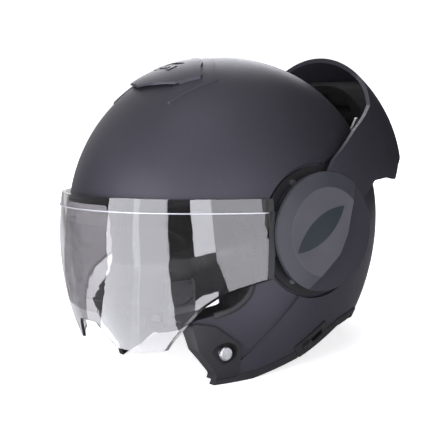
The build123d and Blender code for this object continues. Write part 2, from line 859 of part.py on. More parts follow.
def release_housing():
    """The tray behind the chin bar's wall that the release button sinks into."""
    floor = button_inside + button_foot + button_travel + button_gap
    pocket = 2 * button_foot + 2 * button_gap
    with BuildPart() as tray:
        add(button_prism(button_length + pocket + 2 * tray_wall,
                         button_height + pocket + 2 * tray_wall,
                         -floor - tray_wall, 0, button_corner))
        add(bar_form(bar_wall + button_gap), mode=Mode.INTERSECT)
        add(button_prism(button_length + pocket, button_height + pocket, -floor, overrun,
                         button_corner), mode=Mode.SUBTRACT)
    return tray.part


def pawl_point(along):
    """A point of the left pawl's line, measured down the bar from its bottom edge."""
    return (pawl_y + along * cos(radians(pawl_heading)),
            pawl_z + along * sin(radians(pawl_heading)))


def pawl_sketch(start, end, width):
    middle = pawl_point((start + end) / 2)
    with Locations(Location((middle[0], middle[1], 0), (0, 0, pawl_heading))):
        RectangleRounded(end - start, width, pawl_corner)


def latch_pawl():
    """The left latch pawl: a flat nose at the bar's edge on a block in its guide."""
    with BuildPart() as pawl:
        with BuildSketch(Plane.YZ.offset(pawl_x)):
            pawl_sketch(0, pawl_length, pawl_width)
        extrude(amount=pawl_thickness)
        with BuildSketch(Plane.YZ.offset(pawl_x + pawl_thickness)):
            pawl_sketch(pawl_length - pawl_block, pawl_length, pawl_width / 2)
        extrude(amount=pawl_block_height)
    return pawl.part


def latch_guide():
    """The left guide on the bar's inner wall that the pawl's block slides in."""
    with BuildPart() as guide:
        with BuildSketch(Plane.YZ.offset(pawl_x + pawl_thickness + button_gap)):
            pawl_sketch(pawl_length - pawl_block - guide_wall,
                        pawl_length + button_travel + guide_wall, pawl_width + guide_wall)
        extrude(amount=half_width)
        add(bar_form(bar_wall + pin_clearance), mode=Mode.INTERSECT)
        with BuildSketch(Plane.YZ.offset(pawl_x)):
            pawl_sketch(pawl_length - pawl_block - button_gap,
                        pawl_length + button_travel + button_gap,
                        pawl_width / 2 + 2 * button_gap)
        extrude(amount=pawl_thickness + pawl_block_height + button_gap, mode=Mode.SUBTRACT)
    return guide.part


def pivot_cover():
    """The left cover: a bevelled ring round a raised face, cut off slanting at the back."""
    cover_x = hub_plate_x + hub_plate_thickness
    with BuildPart() as cover:
        with BuildSketch(Plane.YZ.offset(cover_x)):
            with Locations((pivot_y, pivot_z)):
                Circle(hub_plate_radius)
        extrude(amount=cover_height - cover_bevel_drop)
        for height, radius in ((cover_height - cover_bevel_drop, hub_plate_radius),
                               (cover_height, hub_plate_radius - cover_bevel)):
            with BuildSketch(Plane.YZ.offset(cover_x + height)):
                with Locations((pivot_y, pivot_z)):
                    Circle(radius)
        loft()
        add(side_prism(cover_shares, cover_corner), mode=Mode.INTERSECT)
        with BuildSketch(Plane.YZ.offset(cover_x + cover_height)):
            leaf(0)
        extrude(amount=-inlay_depth, mode=Mode.SUBTRACT)
        split(bisect_by=Plane.YZ, keep=Keep.TOP)
    return cover.part


def leaf(inset):
    """The inlay's pointed oval on the current sketch plane, where two equal arcs cross."""
    high = inlay_width / 2 - inset
    radius = ((inlay_length / 2 - inset) ** 2 + high ** 2) / (2 * high)
    with Locations(Location((inlay_y, inlay_z, 0), (0, 0, inlay_tilt))):
        with Locations((0, high - radius)):
            Circle(radius)
        with Locations((0, radius - high)):
            Circle(radius, mode=Mode.INTERSECT)


def cover_inlay():
    floor_x = hub_plate_x + hub_plate_thickness + cover_height - inlay_depth
    with BuildPart() as inlay:
        with BuildSketch(Plane.YZ.offset(floor_x)):
            leaf(pin_clearance)
        extrude(amount=inlay_depth - pin_clearance)
    return inlay.part


def visor_shell(inset_out, inset_in):
    return (ellipsoid(visor_half_width - inset_out, visor_half_length - inset_out,
                      visor_half_height - inset_out, form_centre_y, visor_centre_z)
            - ellipsoid(visor_half_width - inset_in, visor_half_length - inset_in,
                        visor_half_height - inset_in, form_centre_y, visor_centre_z))


def front_prism(points, corner, from_y):
    """A front view outline run forwards from a plane across the helmet."""
    with BuildPart() as prism:
        with BuildSketch(Plane.XZ.offset(from_y)):
            with BuildLine():
                FilletPolyline(*points, radius=corner, close=True)
            make_face()
        extrude(amount=2 * half_length)
    return prism.part


def visor():
    """The clear shield, thicker in a band along its top edge."""
    outline = mirrored(at(visor_shares, visor_half_width, visor_half_height))
    top = visor_shares[0][1] * visor_half_height
    band = [(visor_half_width + overrun, top), (visor_half_width + overrun, top - visor_band)]
    with BuildPart() as shield:
        add(visor_shell(-visor_band_proud, 0))
        add(front_prism(mirrored(band), visor_corner, visor_front_y), mode=Mode.INTERSECT)
        add(visor_shell(0, visor_wall) & front_prism(outline, visor_corner, visor_front_y))
    return shield.part


def visor_arm():
    """The left visor arm: its ring on the boss, and the frame that holds the visor's edge."""
    outline = mirrored(at(visor_shares, visor_half_width, visor_half_height))
    ring_x = side_flat_x + base_boss_height - visor_ring_thickness - shoe_gap
    bore = base_boss_radius + pin_clearance
    with BuildPart() as frame:
        add(visor_shell(0, visor_wall))
        add(front_prism(outline, visor_corner, visor_frame_y), mode=Mode.INTERSECT)
        add(front_prism(outline, visor_corner, visor_front_y - liner_gap), mode=Mode.SUBTRACT)
        add(side_discs(bore + visor_ring_width, ring_x, ring_x + visor_ring_thickness))
        with BuildSketch(Plane.YZ.offset(ring_x)):
            with Locations((-visor_frame_y, pivot_z)):
                Rectangle(web_length, web_height)
        extrude(amount=web_depth)
        add(side_discs(bore, 0, 2 * half_width), mode=Mode.SUBTRACT)
        split(bisect_by=Plane.YZ, keep=Keep.TOP)
    return frame.part


def antifog_lens():
    side, top, low = antifog_shares
    corners = ((side * visor_half_width, top * visor_half_height),
               (side * visor_half_width, low * visor_half_height))
    with BuildPart() as lens:
        add(visor_shell(visor_wall + liner_gap, visor_wall + liner_gap + antifog_wall))
        add(front_prism(mirrored(list(corners)), antifog_corner, visor_front_y),
            mode=Mode.INTERSECT)
    return lens.part


def crown_prism(shares, corner):
    """A plan outline, mirrored across the middle, run up through the crown."""
    points = at(shares, half_width, half_length)
    with BuildPart() as prism:
        with BuildSketch():
            with BuildLine():
                FilletPolyline(*(points + [(-x, y) for x, y in reversed(points[1:-1])]),
                               radius=corner, close=True)
            make_face()
        extrude(amount=2 * crown_height)
    return prism.part


def raised_crown(shift, proud):
    """The crown moved forwards and grown, which stands out most at the brow."""
    return Pos(0, -shift, 0) * dome(-proud)


def top_vent():
    """The scoop on the crown with the open mouth under its lip, and its winged base plate."""
    roof = raised_crown(scoop_shift, scoop_proud) & crown_prism(scoop_shares, scoop_corner)
    mouth = raised_crown(scoop_shift, scoop_proud - scoop_lip) & crown_prism(mouth_shares,
                                                                             mouth_corner)
    with BuildPart() as scoop:
        add(raised_crown(wing_shift, wing_proud) & crown_prism(wing_shares, wing_corner))
        add(roof - mouth)
        add(dome(0), mode=Mode.SUBTRACT)
        add(plane_prism(slider_plane(), slider_length + 2 * button_gap,
                        slider_width + slider_travel + 2 * button_gap, 0, 2 * overrun,
                        slider_corner), mode=Mode.SUBTRACT)
    return scoop.part


def slider_plane():
    """The floor of the top vent's slider pocket, square to the shell there."""
    ahead = (slider_y - form_centre_y) / half_length
    up = sqrt(1 - ahead ** 2)
    plane = tilted_plane(slider_y, up * crown_height, ahead / half_length, up / crown_height)
    return plane.offset(slider_floor)


def top_vent_slider():
    plane = slider_plane().offset(button_gap)
    with BuildPart() as slider:
        with BuildSketch(plane):
            with Locations((0, -slider_travel / 2)):
                RectangleRounded(slider_length, slider_width, slider_corner)
        extrude(amount=slider_thickness)
        with BuildSketch(plane.offset(slider_thickness)):
            with Locations((0, -slider_travel / 2)):
                Rectangle(slider_length / 2, slider_width / 3)
        extrude(amount=slider_thickness / 2)
    return slider.part


def standing():
    """The place of every piece once the helmet stands on its jaw and nape."""
    front, back = at(rim_shares[1:6:4])
    tilt = atan2(back[1] - front[1], back[0] - front[0])
    drop = front[1] * cos(tilt) - front[0] * sin(tilt)
    return Location((0, 0, -drop)) * Location((0, 0, 0), (-degrees(tilt), 0, 0))


os.makedirs("parts", exist_ok=True)
singles = {"outer_shell": outer_shell, "base_trim": base_trim, "brow_seal": brow_seal,
           "eps_liner": eps_liner, "crown_pad": crown_pad, "neck_roll": neck_roll,
           "strap_anchors": strap_anchors, "base_screws": base_screws,
           "buckle_tongue": buckle_tongue, "buckle_body": buckle_body,
           "buckle_pin": buckle_pin_rod, "buckle_lever": buckle_lever,
           "sun_visor": sun_visor, "sun_visor_pins": sun_pins,
           "sun_lever_housing": sun_lever_housing, "sun_lever": sun_lever,
           "visor": visor, "antifog_lens": antifog_lens,
           "chin_bar": chin_bar, "chin_bar_liner": chin_bar_liner, "chin_vent": chin_vent,
           "chin_vent_shutter": chin_vent_shutter, "release_button": release_button,
           "release_housing": release_housing, "top_vent": top_vent,
           "top_vent_slider": top_vent_slider}
pairs = {"cheek_pad": cheek_pad, "strap": strap, "latch_block": latch_block,
         "striker_stud": striker, "pivot_base": pivot_base, "pivot_carrier": pivot_carrier,
         "visor_arm": visor_arm, "pivot_cover": pivot_cover, "cover_inlay": cover_inlay,
         "latch_pawl": latch_pawl, "latch_guide": latch_guide}
pieces = {name: make() for name, make in singles.items()}
for name, make in pairs.items():
    pieces[f"{name}_left"] = make()
    pieces[f"{name}_right"] = other_side(pieces[f"{name}_left"])
stood = {name: piece.moved(standing()) for name, piece in pieces.items()}
spans = [piece.bounding_box() for piece in stood.values()]
middle_y = (min(span.min.Y for span in spans) + max(span.max.Y for span in spans)) / 2
for name, piece in stood.items():
    final = piece.moved(Location((0, -middle_y, 0)))
    final.label = name
    export_step(final, f"parts/{name}.step")
    print(name, len(final.solids()), round(final.volume), final.is_valid)
print("tilt", -standing().orientation.X, "raised", standing().position.Z, "middle", middle_y)
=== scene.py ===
"""Looks, lining, straps, light and camera for the flip-over helmet."""

import json
from math import cos, radians, sin

import bmesh
import bpy
from mathutils import Matrix, Vector


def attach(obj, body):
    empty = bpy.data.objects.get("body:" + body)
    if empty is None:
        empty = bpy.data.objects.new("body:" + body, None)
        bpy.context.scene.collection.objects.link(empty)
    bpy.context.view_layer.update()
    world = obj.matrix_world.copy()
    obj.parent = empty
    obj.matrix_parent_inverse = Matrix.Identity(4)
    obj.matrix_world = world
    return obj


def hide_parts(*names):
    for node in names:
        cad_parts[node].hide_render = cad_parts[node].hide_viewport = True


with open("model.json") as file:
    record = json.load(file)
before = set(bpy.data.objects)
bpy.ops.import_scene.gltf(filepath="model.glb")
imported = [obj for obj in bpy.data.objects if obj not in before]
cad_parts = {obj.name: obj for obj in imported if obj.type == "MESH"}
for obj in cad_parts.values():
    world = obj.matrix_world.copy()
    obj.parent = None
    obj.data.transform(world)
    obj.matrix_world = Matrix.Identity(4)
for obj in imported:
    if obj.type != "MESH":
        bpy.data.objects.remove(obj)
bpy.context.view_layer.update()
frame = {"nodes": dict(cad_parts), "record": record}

# Worn coordinates have the origin between the ears; the helmet stands tilted back on its jaw.
stand_tilt = radians(10.13)
stand_raise = 0.111597
stand_middle = 0.0061117

# The shell's form in worn coordinates, in metres
half_width, half_length, form_middle = 0.121, 0.135, -0.006
crown_height, side_drop, front_drop = 0.134, 0.190, 0.200


def standing(point):
    """A point in worn coordinates, moved to where the helmet stands."""
    x, y, z = point
    return Vector((x, y * cos(stand_tilt) + z * sin(stand_tilt) - stand_middle,
                   z * cos(stand_tilt) - y * sin(stand_tilt) + stand_raise))


def worn(point):
    """A standing point back in worn coordinates."""
    x, y, z = point
    y, z = y + stand_middle, z - stand_raise
    return Vector((x, y * cos(stand_tilt) - z * sin(stand_tilt),
                   y * sin(stand_tilt) + z * cos(stand_tilt)))


# Finishes

class Finish:
    """A Principled material with short calls for the nodes that the helmet's finishes share."""

    def __init__(self, name, **sockets):
        self.material = bpy.data.materials.new(name)
        self.material.use_nodes = True
        self.tree = self.material.node_tree
        self.shader = self.tree.nodes["Principled BSDF"]
        for socket, value in sockets.items():
            self.shader.inputs[socket.replace("_", " ")].default_value = value
        self.place = self.node("ShaderNodeTexCoord").outputs["Object"]

    def node(self, kind, **settings):
        made = self.tree.nodes.new(kind)
        for setting, value in settings.items():
            setattr(made, setting, value)
        return made

    def link(self, source, target):
        self.tree.links.new(source, target)

    def noise(self, scale, detail=2.0, roughness=0.5, stretch=None):
        made = self.node("ShaderNodeTexNoise")
        made.inputs["Scale"].default_value = scale
        made.inputs["Detail"].default_value = detail
        made.inputs["Roughness"].default_value = roughness
        place = self.place
        if stretch:
            mapping = self.node("ShaderNodeMapping")
            mapping.inputs["Scale"].default_value = stretch
            self.link(place, mapping.inputs["Vector"])
            place = mapping.outputs["Vector"]
        self.link(place, made.inputs["Vector"])
        return made.outputs["Fac"]

    def cells(self, scale, feature="F1"):
        made = self.node("ShaderNodeTexVoronoi", feature=feature)
        made.inputs["Scale"].default_value = scale
        self.link(self.place, made.inputs["Vector"])
        return made.outputs["Distance"]

    def waves(self, place, direction, scale, distortion=0.0):
        made = self.node("ShaderNodeTexWave", wave_type="BANDS", bands_direction=direction)
        made.inputs["Scale"].default_value = scale
        made.inputs["Distortion"].default_value = distortion
        self.link(place, made.inputs["Vector"])
        return made.outputs["Fac"]

    def product(self, first, second):
        made = self.node("ShaderNodeMath", operation="MULTIPLY")
        self.link(first, made.inputs[0])
        self.link(second, made.inputs[1])
        return made.outputs[0]

    def length(self, vector):
        made = self.node("ShaderNodeVectorMath", operation="LENGTH")
        self.link(vector, made.inputs[0])
        return made.outputs["Value"]

    def between(self, factor, low, high, start=0.0, end=1.0):
        """From low to high while the factor goes from start to end."""
        made = self.node("ShaderNodeMapRange")
        for socket, value in (("From Min", start), ("From Max", end), ("To Min", low),
                              ("To Max", high)):
            made.inputs[socket].default_value = value
        self.link(factor, made.inputs["Value"])
        return made.outputs["Result"]

    def mixed(self, factor, dark, light, start=0.3, end=0.7):
        """From one plain colour to another while the factor goes from start to end."""
        made = self.node("ShaderNodeMix", data_type="RGBA")
        made.inputs["A"].default_value = (*dark, 1)
        made.inputs["B"].default_value = (*light, 1)
        self.link(self.between(factor, 0.0, 1.0, start, end), made.inputs["Factor"])
        return made.outputs["Result"]

    def blended(self, factor, first, second):
        """From one node's colour to another's."""
        made = self.node("ShaderNodeMix", data_type="RGBA")
        self.link(first, made.inputs["A"])
        self.link(second, made.inputs["B"])
        self.link(factor, made.inputs["Factor"])
        return made.outputs["Result"]

    def colour(self, source):
        self.link(source, self.shader.inputs["Base Color"])

    def rough(self, source):
        self.link(source, self.shader.inputs["Roughness"])

    def bump(self, *heights):
        """Each height is a source, a strength and a distance in metres, coarse to fine."""
        normal = None
        for source, strength, distance in heights:
            made = self.node("ShaderNodeBump")
            made.inputs["Strength"].default_value = strength
            made.inputs["Distance"].default_value = distance
            self.link(source, made.inputs["Height"])
            if normal:
                self.link(normal, made.inputs["Normal"])
            normal = made.outputs["Normal"]
        self.link(normal, self.shader.inputs["Normal"])


def shell_paint():
    """Matt anthracite paint with a fine flake and faint handling marks."""
    paint = Finish("shell_paint", Metallic=0.25, Specular_IOR_Level=0.1, Coat_Weight=0.02,
                   Coat_Roughness=0.4)
    flake = paint.noise(2600, 1.0)
    cloud = paint.noise(9, 3.0)
    base = paint.mixed(flake, (0.024, 0.023, 0.029), (0.042, 0.040, 0.049), 0.35, 0.68)
    handled = paint.mixed(cloud, (0.028, 0.027, 0.033), (0.036, 0.034, 0.042))
    paint.colour(paint.blended(paint.between(cloud, 0.25, 0.6), base, handled))
    paint.rough(paint.between(paint.noise(34, 4.0), 0.44, 0.54))
    paint.bump((paint.noise(420, 2.0), 0.10, 0.0002), (flake, 0.10, 0.00005))
    return paint.material


def moulded(name, dark, light, grain, roughness, depth=0.00012, **sockets):
    """A moulded plastic with a spark-eroded grain."""
    plastic = Finish(name, **sockets)
    fine = plastic.noise(grain, 3.0, 0.6)
    plastic.colour(plastic.mixed(plastic.noise(26, 4.0), dark, light))
    plastic.rough(plastic.between(plastic.noise(60, 3.0), roughness - 0.05, roughness + 0.07))
    plastic.bump((plastic.cells(grain * 0.4), 0.12, depth), (fine, 0.28, depth))
    return plastic.material


# The covers' shared axis in worn coordinates, and how far from it their face ends and the darker
# ring begins
pivot_axis = (0, 0.002, -0.004)
face_radius, ring_radius = 0.0345, 0.0351


def cover_moulding():
    """Satin grey cover: its bevelled ring is a darker grey than its face."""
    cover = Finish("cover_moulding", Specular_IOR_Level=0.22)
    centred = cover.node("ShaderNodeMapping")
    centred.inputs["Location"].default_value = -standing(pivot_axis)
    cover.link(cover.place, centred.inputs["Vector"])
    sideways = cover.node("ShaderNodeVectorMath", operation="MULTIPLY")
    sideways.inputs[1].default_value = (0, 1, 1)
    cover.link(centred.outputs["Vector"], sideways.inputs[0])
    reach = cover.length(sideways.outputs["Vector"])
    fine = cover.noise(1700, 3.0, 0.6)
    face = cover.mixed(cover.noise(26, 4.0), (0.060, 0.059, 0.068), (0.078, 0.076, 0.088))
    ring = cover.mixed(cover.noise(26, 4.0), (0.032, 0.033, 0.039), (0.040, 0.041, 0.048))
    cover.colour(cover.blended(cover.between(reach, 0.0, 1.0, face_radius, ring_radius),
                               face, ring))
    cover.rough(cover.between(cover.noise(60, 3.0), 0.37, 0.49))
    cover.bump((cover.cells(680), 0.12, 0.00006), (fine, 0.28, 0.00006))
    return cover.material


def edge_rubber():
    """Dull black rubber with a soft grain."""
    rubber = Finish("edge_rubber", Specular_IOR_Level=0.2)
    rubber.colour(rubber.mixed(rubber.noise(40, 4.0), (0.010, 0.010, 0.011),
                               (0.020, 0.020, 0.021)))
    rubber.rough(rubber.between(rubber.noise(90, 3.0), 0.62, 0.8))
    rubber.bump((rubber.noise(700, 2.0), 0.25, 0.0001), (rubber.noise(2400, 2.0), 0.2, 0.00005))
    return rubber.material


def clear_sheet(name, tint, haze, index=1.58):
    """A see-through moulding: hard coated, with wipe marks only in its gloss."""
    sheet = Finish(name, Transmission_Weight=1.0, IOR=index)
    wipe = sheet.noise(14, 4.0, 0.6, stretch=(1, 1, 5))
    sheet.colour(sheet.mixed(wipe, tint, tuple(min(1.0, 1.02 * part) for part in tint)))
    sheet.rough(sheet.between(wipe, haze * 0.6, haze * 1.8, 0.3, 0.7))
    return sheet.material


def lip_painted_highlight():
    """The visor's moulded lip: clear plastic so curved that it only shows light, here given as a
    painted highlight in light grey.
    """
    lip = Finish("visor_lip", Transmission_Weight=0.35, IOR=1.58)
    # Light grey colour: a painted highlight, not the clear plastic's own colour.
    lip.colour(lip.mixed(lip.noise(60, 3.0), (0.62, 0.62, 0.68), (0.80, 0.80, 0.86)))
    lip.rough(lip.between(lip.noise(120), 0.18, 0.3))
    return lip.material


def bead_foam():
    """Black expanded polystyrene, its beads showing."""
    foam = Finish("bead_foam", Specular_IOR_Level=0.25)
    beads = foam.cells(330)
    foam.colour(foam.mixed(beads, (0.018, 0.018, 0.019), (0.008, 0.008, 0.008), 0.0, 0.6))
    foam.rough(foam.between(foam.noise(50), 0.65, 0.85))
    foam.bump((foam.cells(330, "SMOOTH_F1"), 0.5, 0.0006))
    return foam.material


def knit():
    """Brushed knitted lining: rows of loops a little over a millimetre apart."""
    cloth = Finish("knit_lining", Sheen_Weight=0.12, Sheen_Roughness=0.5, Specular_IOR_Level=0.15)
    loops = cloth.product(cloth.waves(cloth.place, "X", 260, 1.6),
                          cloth.waves(cloth.place, "Z", 210, 1.6))
    cloth.colour(cloth.mixed(loops, (0.006, 0.006, 0.007), (0.020, 0.020, 0.023), 0.0, 1.0))
    cloth.rough(cloth.between(cloth.noise(120), 0.8, 0.95))
    cloth.bump((cloth.noise(70, 3.0), 0.3, 0.001), (loops, 0.55, 0.0004))
    return cloth.material


def webbing():
    """Flat woven strap: ribs across its length, read from the strap's own UV."""
    weave = Finish("strap_weave", Sheen_Weight=0.05, Specular_IOR_Level=0.2)
    uv = weave.node("ShaderNodeUVMap", uv_map="weave").outputs["UV"]
    yarns = weave.product(weave.waves(uv, "Y", 120), weave.waves(uv, "X", 170, 0.8))
    weave.colour(weave.mixed(yarns, (0.005, 0.005, 0.006), (0.018, 0.018, 0.020), 0.0, 1.0))
    weave.rough(weave.between(weave.noise(200), 0.6, 0.8))
    weave.bump((yarns, 0.6, 0.0003))
    return weave.material


def steel():
    """Turned and tumbled steel, with fine scratches."""
    metal = Finish("plain_steel", Metallic=1.0)
    scratch = metal.noise(300, 4.0, 0.6, stretch=(1, 1, 14))
    metal.colour(metal.mixed(scratch, (0.34, 0.34, 0.35), (0.50, 0.50, 0.51)))
    metal.rough(metal.between(scratch, 0.22, 0.40, 0.3, 0.7))
    metal.bump((scratch, 0.08, 0.00005))
    return metal.material


finishes = {
    "matte_shell": shell_paint(),
    "black_rubber": edge_rubber(),
    "black_plastic": moulded("black_moulding", (0.010, 0.010, 0.011), (0.017, 0.017, 0.018),
                             grain=1300, roughness=0.5, Specular_IOR_Level=0.2),
    "cover_grey": cover_moulding(),
    "slate_inlay": moulded("slate_inlay", (0.016, 0.021, 0.026), (0.022, 0.028, 0.034),
                           grain=1900, roughness=0.34, depth=0.00004, Specular_IOR_Level=0.3),
    "clear_visor": clear_sheet("clear_visor", (0.45, 0.44, 0.455), haze=0.012),
    # The visor lip's finish is a painted highlight.
    "visor_lip": lip_painted_highlight(),
    "clear_insert": clear_sheet("clear_insert", (0.95, 0.95, 0.96), haze=0.02, index=1.2),
    "smoke_lens": clear_sheet("smoke_lens", (0.13, 0.13, 0.15), haze=0.02),
    "foam": bead_foam(),
    "lining_fabric": knit(),
    "strap_webbing": webbing(),
    "steel": steel(),
    "pivot_polymer": moulded("pivot_acetal", (0.014, 0.014, 0.015), (0.020, 0.020, 0.021),
                             grain=2200, roughness=0.3, depth=0.00003),
}


def paint_nodes():
    """Gives each CAD node the finish of its record slot."""
    for subpart in frame["record"]["subparts"]:
        for place in frame["nodes"][subpart["node"]].material_slots:
            place.material = finishes[subpart["material_slot"]]


paint_nodes()


# Meshes

def object_from(shape, name, material):
    """A new object with the shape as its mesh."""
    mesh = bpy.data.meshes.new(name)
    shape.to_mesh(mesh)
    shape.free()
    mesh.materials.append(material)
    made = bpy.data.objects.new(name, mesh)
    bpy.context.collection.objects.link(made)
    return made


def shade_smooth(mesh):
    for face in mesh.polygons:
        face.use_smooth = True


def piece_from(shape, name, finish):
    """A smooth piece of the helmet in one of its finishes."""
    made = object_from(shape, name, finishes[finish])
    shade_smooth(made.data)
    return made


def evaluated_mesh(made):
    """The object's mesh with its modifiers, or a curve's as a mesh."""
    graph = bpy.context.evaluated_depsgraph_get()
    graph.update()
    return bpy.data.meshes.new_from_object(made.evaluated_get(graph))


def apply_modifiers(made):
    """Makes the piece's modifiers part of its mesh."""
    finished = evaluated_mesh(made)
    made.modifiers.clear()
    made.data = finished
    shade_smooth(finished)


# Camera, light and floor

# The camera stands one metre from the point between the ears, which shows 10 pixels right of the
# picture's middle and 5 above it, in a picture of 440 pixels.
camera_turn, camera_rise = radians(55), radians(5)
camera_lens = 95.15
camera_shift = (-10 / 440, -5 / 440)
cool_white = (0.93, 0.93, 1.0)
ambient = 0.13
card_height = 0.003
helmet_middle = (0, 0, 0.12)


def camera():
    """The photograph's camera, round to the helmet's left and a little above it."""
    back = Vector((sin(camera_turn) * cos(camera_rise), -cos(camera_turn) * cos(camera_rise),
                   sin(camera_rise)))
    right = Vector((cos(camera_turn), sin(camera_turn), 0))
    up = back.cross(right)
    lean = Matrix.Rotation(-stand_tilt, 3, "X")
    place = Matrix((lean @ right, lean @ up, lean @ back)).transposed().to_4x4()
    place.translation = standing(back)
    made = bpy.data.objects.new("camera", bpy.data.cameras.new("camera"))
    bpy.context.collection.objects.link(made)
    made.matrix_world = place
    made.data.sensor_width = 36
    made.data.lens = camera_lens
    made.data.shift_x, made.data.shift_y = camera_shift
    bpy.context.scene.camera = made


def around(turn, reach, height=0.0):
    """A studio place: degrees from the front round to the helmet's left, a reach and a height."""
    return Vector((reach * sin(radians(turn)), -reach * cos(radians(turn)), height))


def softbox(name, spot, aim, wide, high, power):
    """A rectangular lamp at spot, turned to aim, both in metres."""
    lamp = bpy.data.lights.new(name, "AREA")
    lamp.shape = "RECTANGLE"
    lamp.size, lamp.size_y = wide, high
    lamp.energy = power
    lamp.color = cool_white
    made = bpy.data.objects.new(name, lamp)
    bpy.context.collection.objects.link(made)
    made.location = spot
    made.rotation_euler = (Vector(aim) - Vector(spot)).to_track_quat("-Z", "Y").to_euler()
    made.visible_camera = made.visible_transmission = False


def cards(name, start, end, near=0.3, far=1.9, tall=1.0, glow=0.0):
    """Cards lying and standing round part of the helmet, black or glowing, for it to reflect."""
    shape = bmesh.new()
    profile = [shape.verts.new(around(start, reach, height))
               for reach, height in ((near, card_height), (far, card_height), (far, tall))]
    edges = [shape.edges.new(pair) for pair in zip(profile, profile[1:])]
    bmesh.ops.spin(shape, geom=profile + edges, cent=(0, 0, 0), axis=(0, 0, 1),
                   angle=radians(end - start), steps=6, use_duplicate=False)
    card = Finish("card_" + name, Roughness=1.0, Specular_IOR_Level=0.0, Emission_Strength=glow)
    card.shader.inputs["Emission Color"].default_value = (*cool_white, 1)
    card.colour(card.mixed(card.noise(4), (0.004, 0.004, 0.004), (0.006, 0.006, 0.006)))
    made = object_from(shape, name, card.material)
    made.visible_camera = made.visible_diffuse = False
    made.visible_transmission = made.visible_shadow = False


def seen_by(tree, *kinds):
    """1 for a ray of one of the kinds, and 0 for any other."""
    path = tree.nodes.new("ShaderNodeLightPath")
    seen = path.outputs[kinds[0]]
    for kind in kinds[1:]:
        either = tree.nodes.new("ShaderNodeMath")
        either.operation = "MAXIMUM"
        tree.links.new(seen, either.inputs[0])
        tree.links.new(path.outputs[kind], either.inputs[1])
        seen = either.outputs[0]
    return seen


def white_world():
    """A world that shows white and lights the helmet only a little."""
    world = bpy.data.worlds.new("white_room")
    bpy.context.scene.world = world
    world.use_nodes = True
    tree = world.node_tree
    back = tree.nodes["Background"]
    back.inputs["Color"].default_value = (1, 1, 1, 1)
    level = tree.nodes.new("ShaderNodeMapRange")
    level.inputs["To Min"].default_value = ambient
    level.inputs["To Max"].default_value = 1.0
    seen = seen_by(tree, "Is Camera Ray", "Is Glossy Ray", "Is Transmission Ray")
    tree.links.new(seen, level.inputs["Value"])
    tree.links.new(level.outputs["Result"], back.inputs["Strength"])


def white_floor():
    """A floor that keeps the helmet's shadow near it, and shows white further out."""
    card = Finish("floor_card", Roughness=0.9, Specular_IOR_Level=0.1)
    card.colour(card.mixed(card.noise(3, 2.0), (0.80, 0.80, 0.80), (0.82, 0.82, 0.82)))
    outward = card.between(card.length(card.place), 0.70, 1.0, start=0.3, end=0.9)
    seen = seen_by(card.tree, "Is Camera Ray", "Is Transmission Ray")
    glow = card.node("ShaderNodeEmission")
    card.link(card.product(outward, seen), glow.inputs["Strength"])
    both = card.node("ShaderNodeAddShader")
    card.link(card.shader.outputs[0], both.inputs[0])
    card.link(glow.outputs[0], both.inputs[1])
    card.link(both.outputs[0], card.tree.nodes["Material Output"].inputs["Surface"])
    shape = bmesh.new()
    bmesh.ops.create_grid(shape, x_segments=1, y_segments=1, size=6.0)
    object_from(shape, "floor", card.material)


def studio():
    """A white room: lamps shape the helmet, and the visor reflects the cards."""
    white_world()
    white_floor()
    softbox("overhead_box", (0.30, -0.25, 1.35), helmet_middle, wide=0.8, high=0.8, power=7)
    softbox("front_box", around(10, 1.6, 0.45), around(10, 0, 0.45), wide=1.3, high=0.84,
            power=24)
    softbox("side_box", around(62, 1.6, 0.30), around(62, 0, 0.15), wide=0.8, high=0.8, power=22)
    softbox("rear_box", around(232, 1.5, 0.85), helmet_middle, wide=0.9, high=0.9, power=16)
    cards("front_shine", -17, 31, near=0.17, far=1.5, glow=9)
    cards("front_streak", 6, 11, near=0.16, far=1.45, glow=12)
    cards("side_shine", 61, 92, near=0.2, far=1.5, glow=5.5)
    cards("black_front_left", 31, 61)
    cards("black_front_right", -78, -17)
    cards("black_behind", 120, 215, near=0.5, tall=2.0)


camera()
studio()
view_settings = bpy.context.scene.view_settings
view_settings.view_transform = "Standard"


# Lining

air_steps = 12


def node_shape(node):
    """A merged copy of a CAD node's surface."""
    shape = bmesh.new()
    shape.from_mesh(frame["nodes"][node].data)
    bmesh.ops.remove_doubles(shape, verts=shape.verts, dist=0.00002)
    return shape


def swell(made, limit):
    """Puffs the cover up with air for a few steps, then keeps what moved within the limit."""
    start = [vertex.co.copy() for vertex in made.data.vertices]
    cloth = made.modifiers.new("air", "CLOTH")
    cloth.settings.quality = 5
    cloth.settings.mass = 0.15
    cloth.settings.tension_stiffness = 25
    cloth.settings.compression_stiffness = 25
    cloth.settings.bending_stiffness = 2
    cloth.settings.use_pressure = True
    cloth.settings.uniform_pressure_force = 4.0
    cloth.settings.effector_weights.gravity = 0.0
    cloth.collision_settings.use_collision = False
    scene = bpy.context.scene
    for step in range(1, air_steps + 1):
        scene.frame_set(step)
    moved = evaluated_mesh(made)
    made.modifiers.clear()
    scene.frame_set(1)
    for vertex, first, last in zip(made.data.vertices, start, moved.vertices):
        shift = last.co - first
        if shift.length > limit:
            shift.length = limit
        vertex.co = first + shift
    bpy.data.meshes.remove(moved)


def pad(node, name, grid, groove, puff=0.002, smooth=6):
    """A lining pad: the CAD solid remeshed, swollen, and sewn in along its grooves.

    groove takes a worn point and gives how deep the seam lies there, in metres.
    """
    made = piece_from(node_shape(node), name, "lining_fabric")
    voxels = made.modifiers.new("even", "REMESH")
    voxels.mode = "VOXEL"
    voxels.voxel_size = grid
    ease = made.modifiers.new("ease", "SMOOTH")
    ease.factor = 0.5
    ease.iterations = smooth
    apply_modifiers(made)
    swell(made, puff)
    finer = made.modifiers.new("finer", "SUBSURF")
    finer.levels = finer.render_levels = 1
    apply_modifiers(made)
    normals = [vertex.normal.copy() for vertex in made.data.vertices]
    for vertex, normal in zip(made.data.vertices, normals):
        vertex.co -= normal * groove(worn(vertex.co))
    made.data.update()
    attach(made, "shell")
    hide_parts(node)


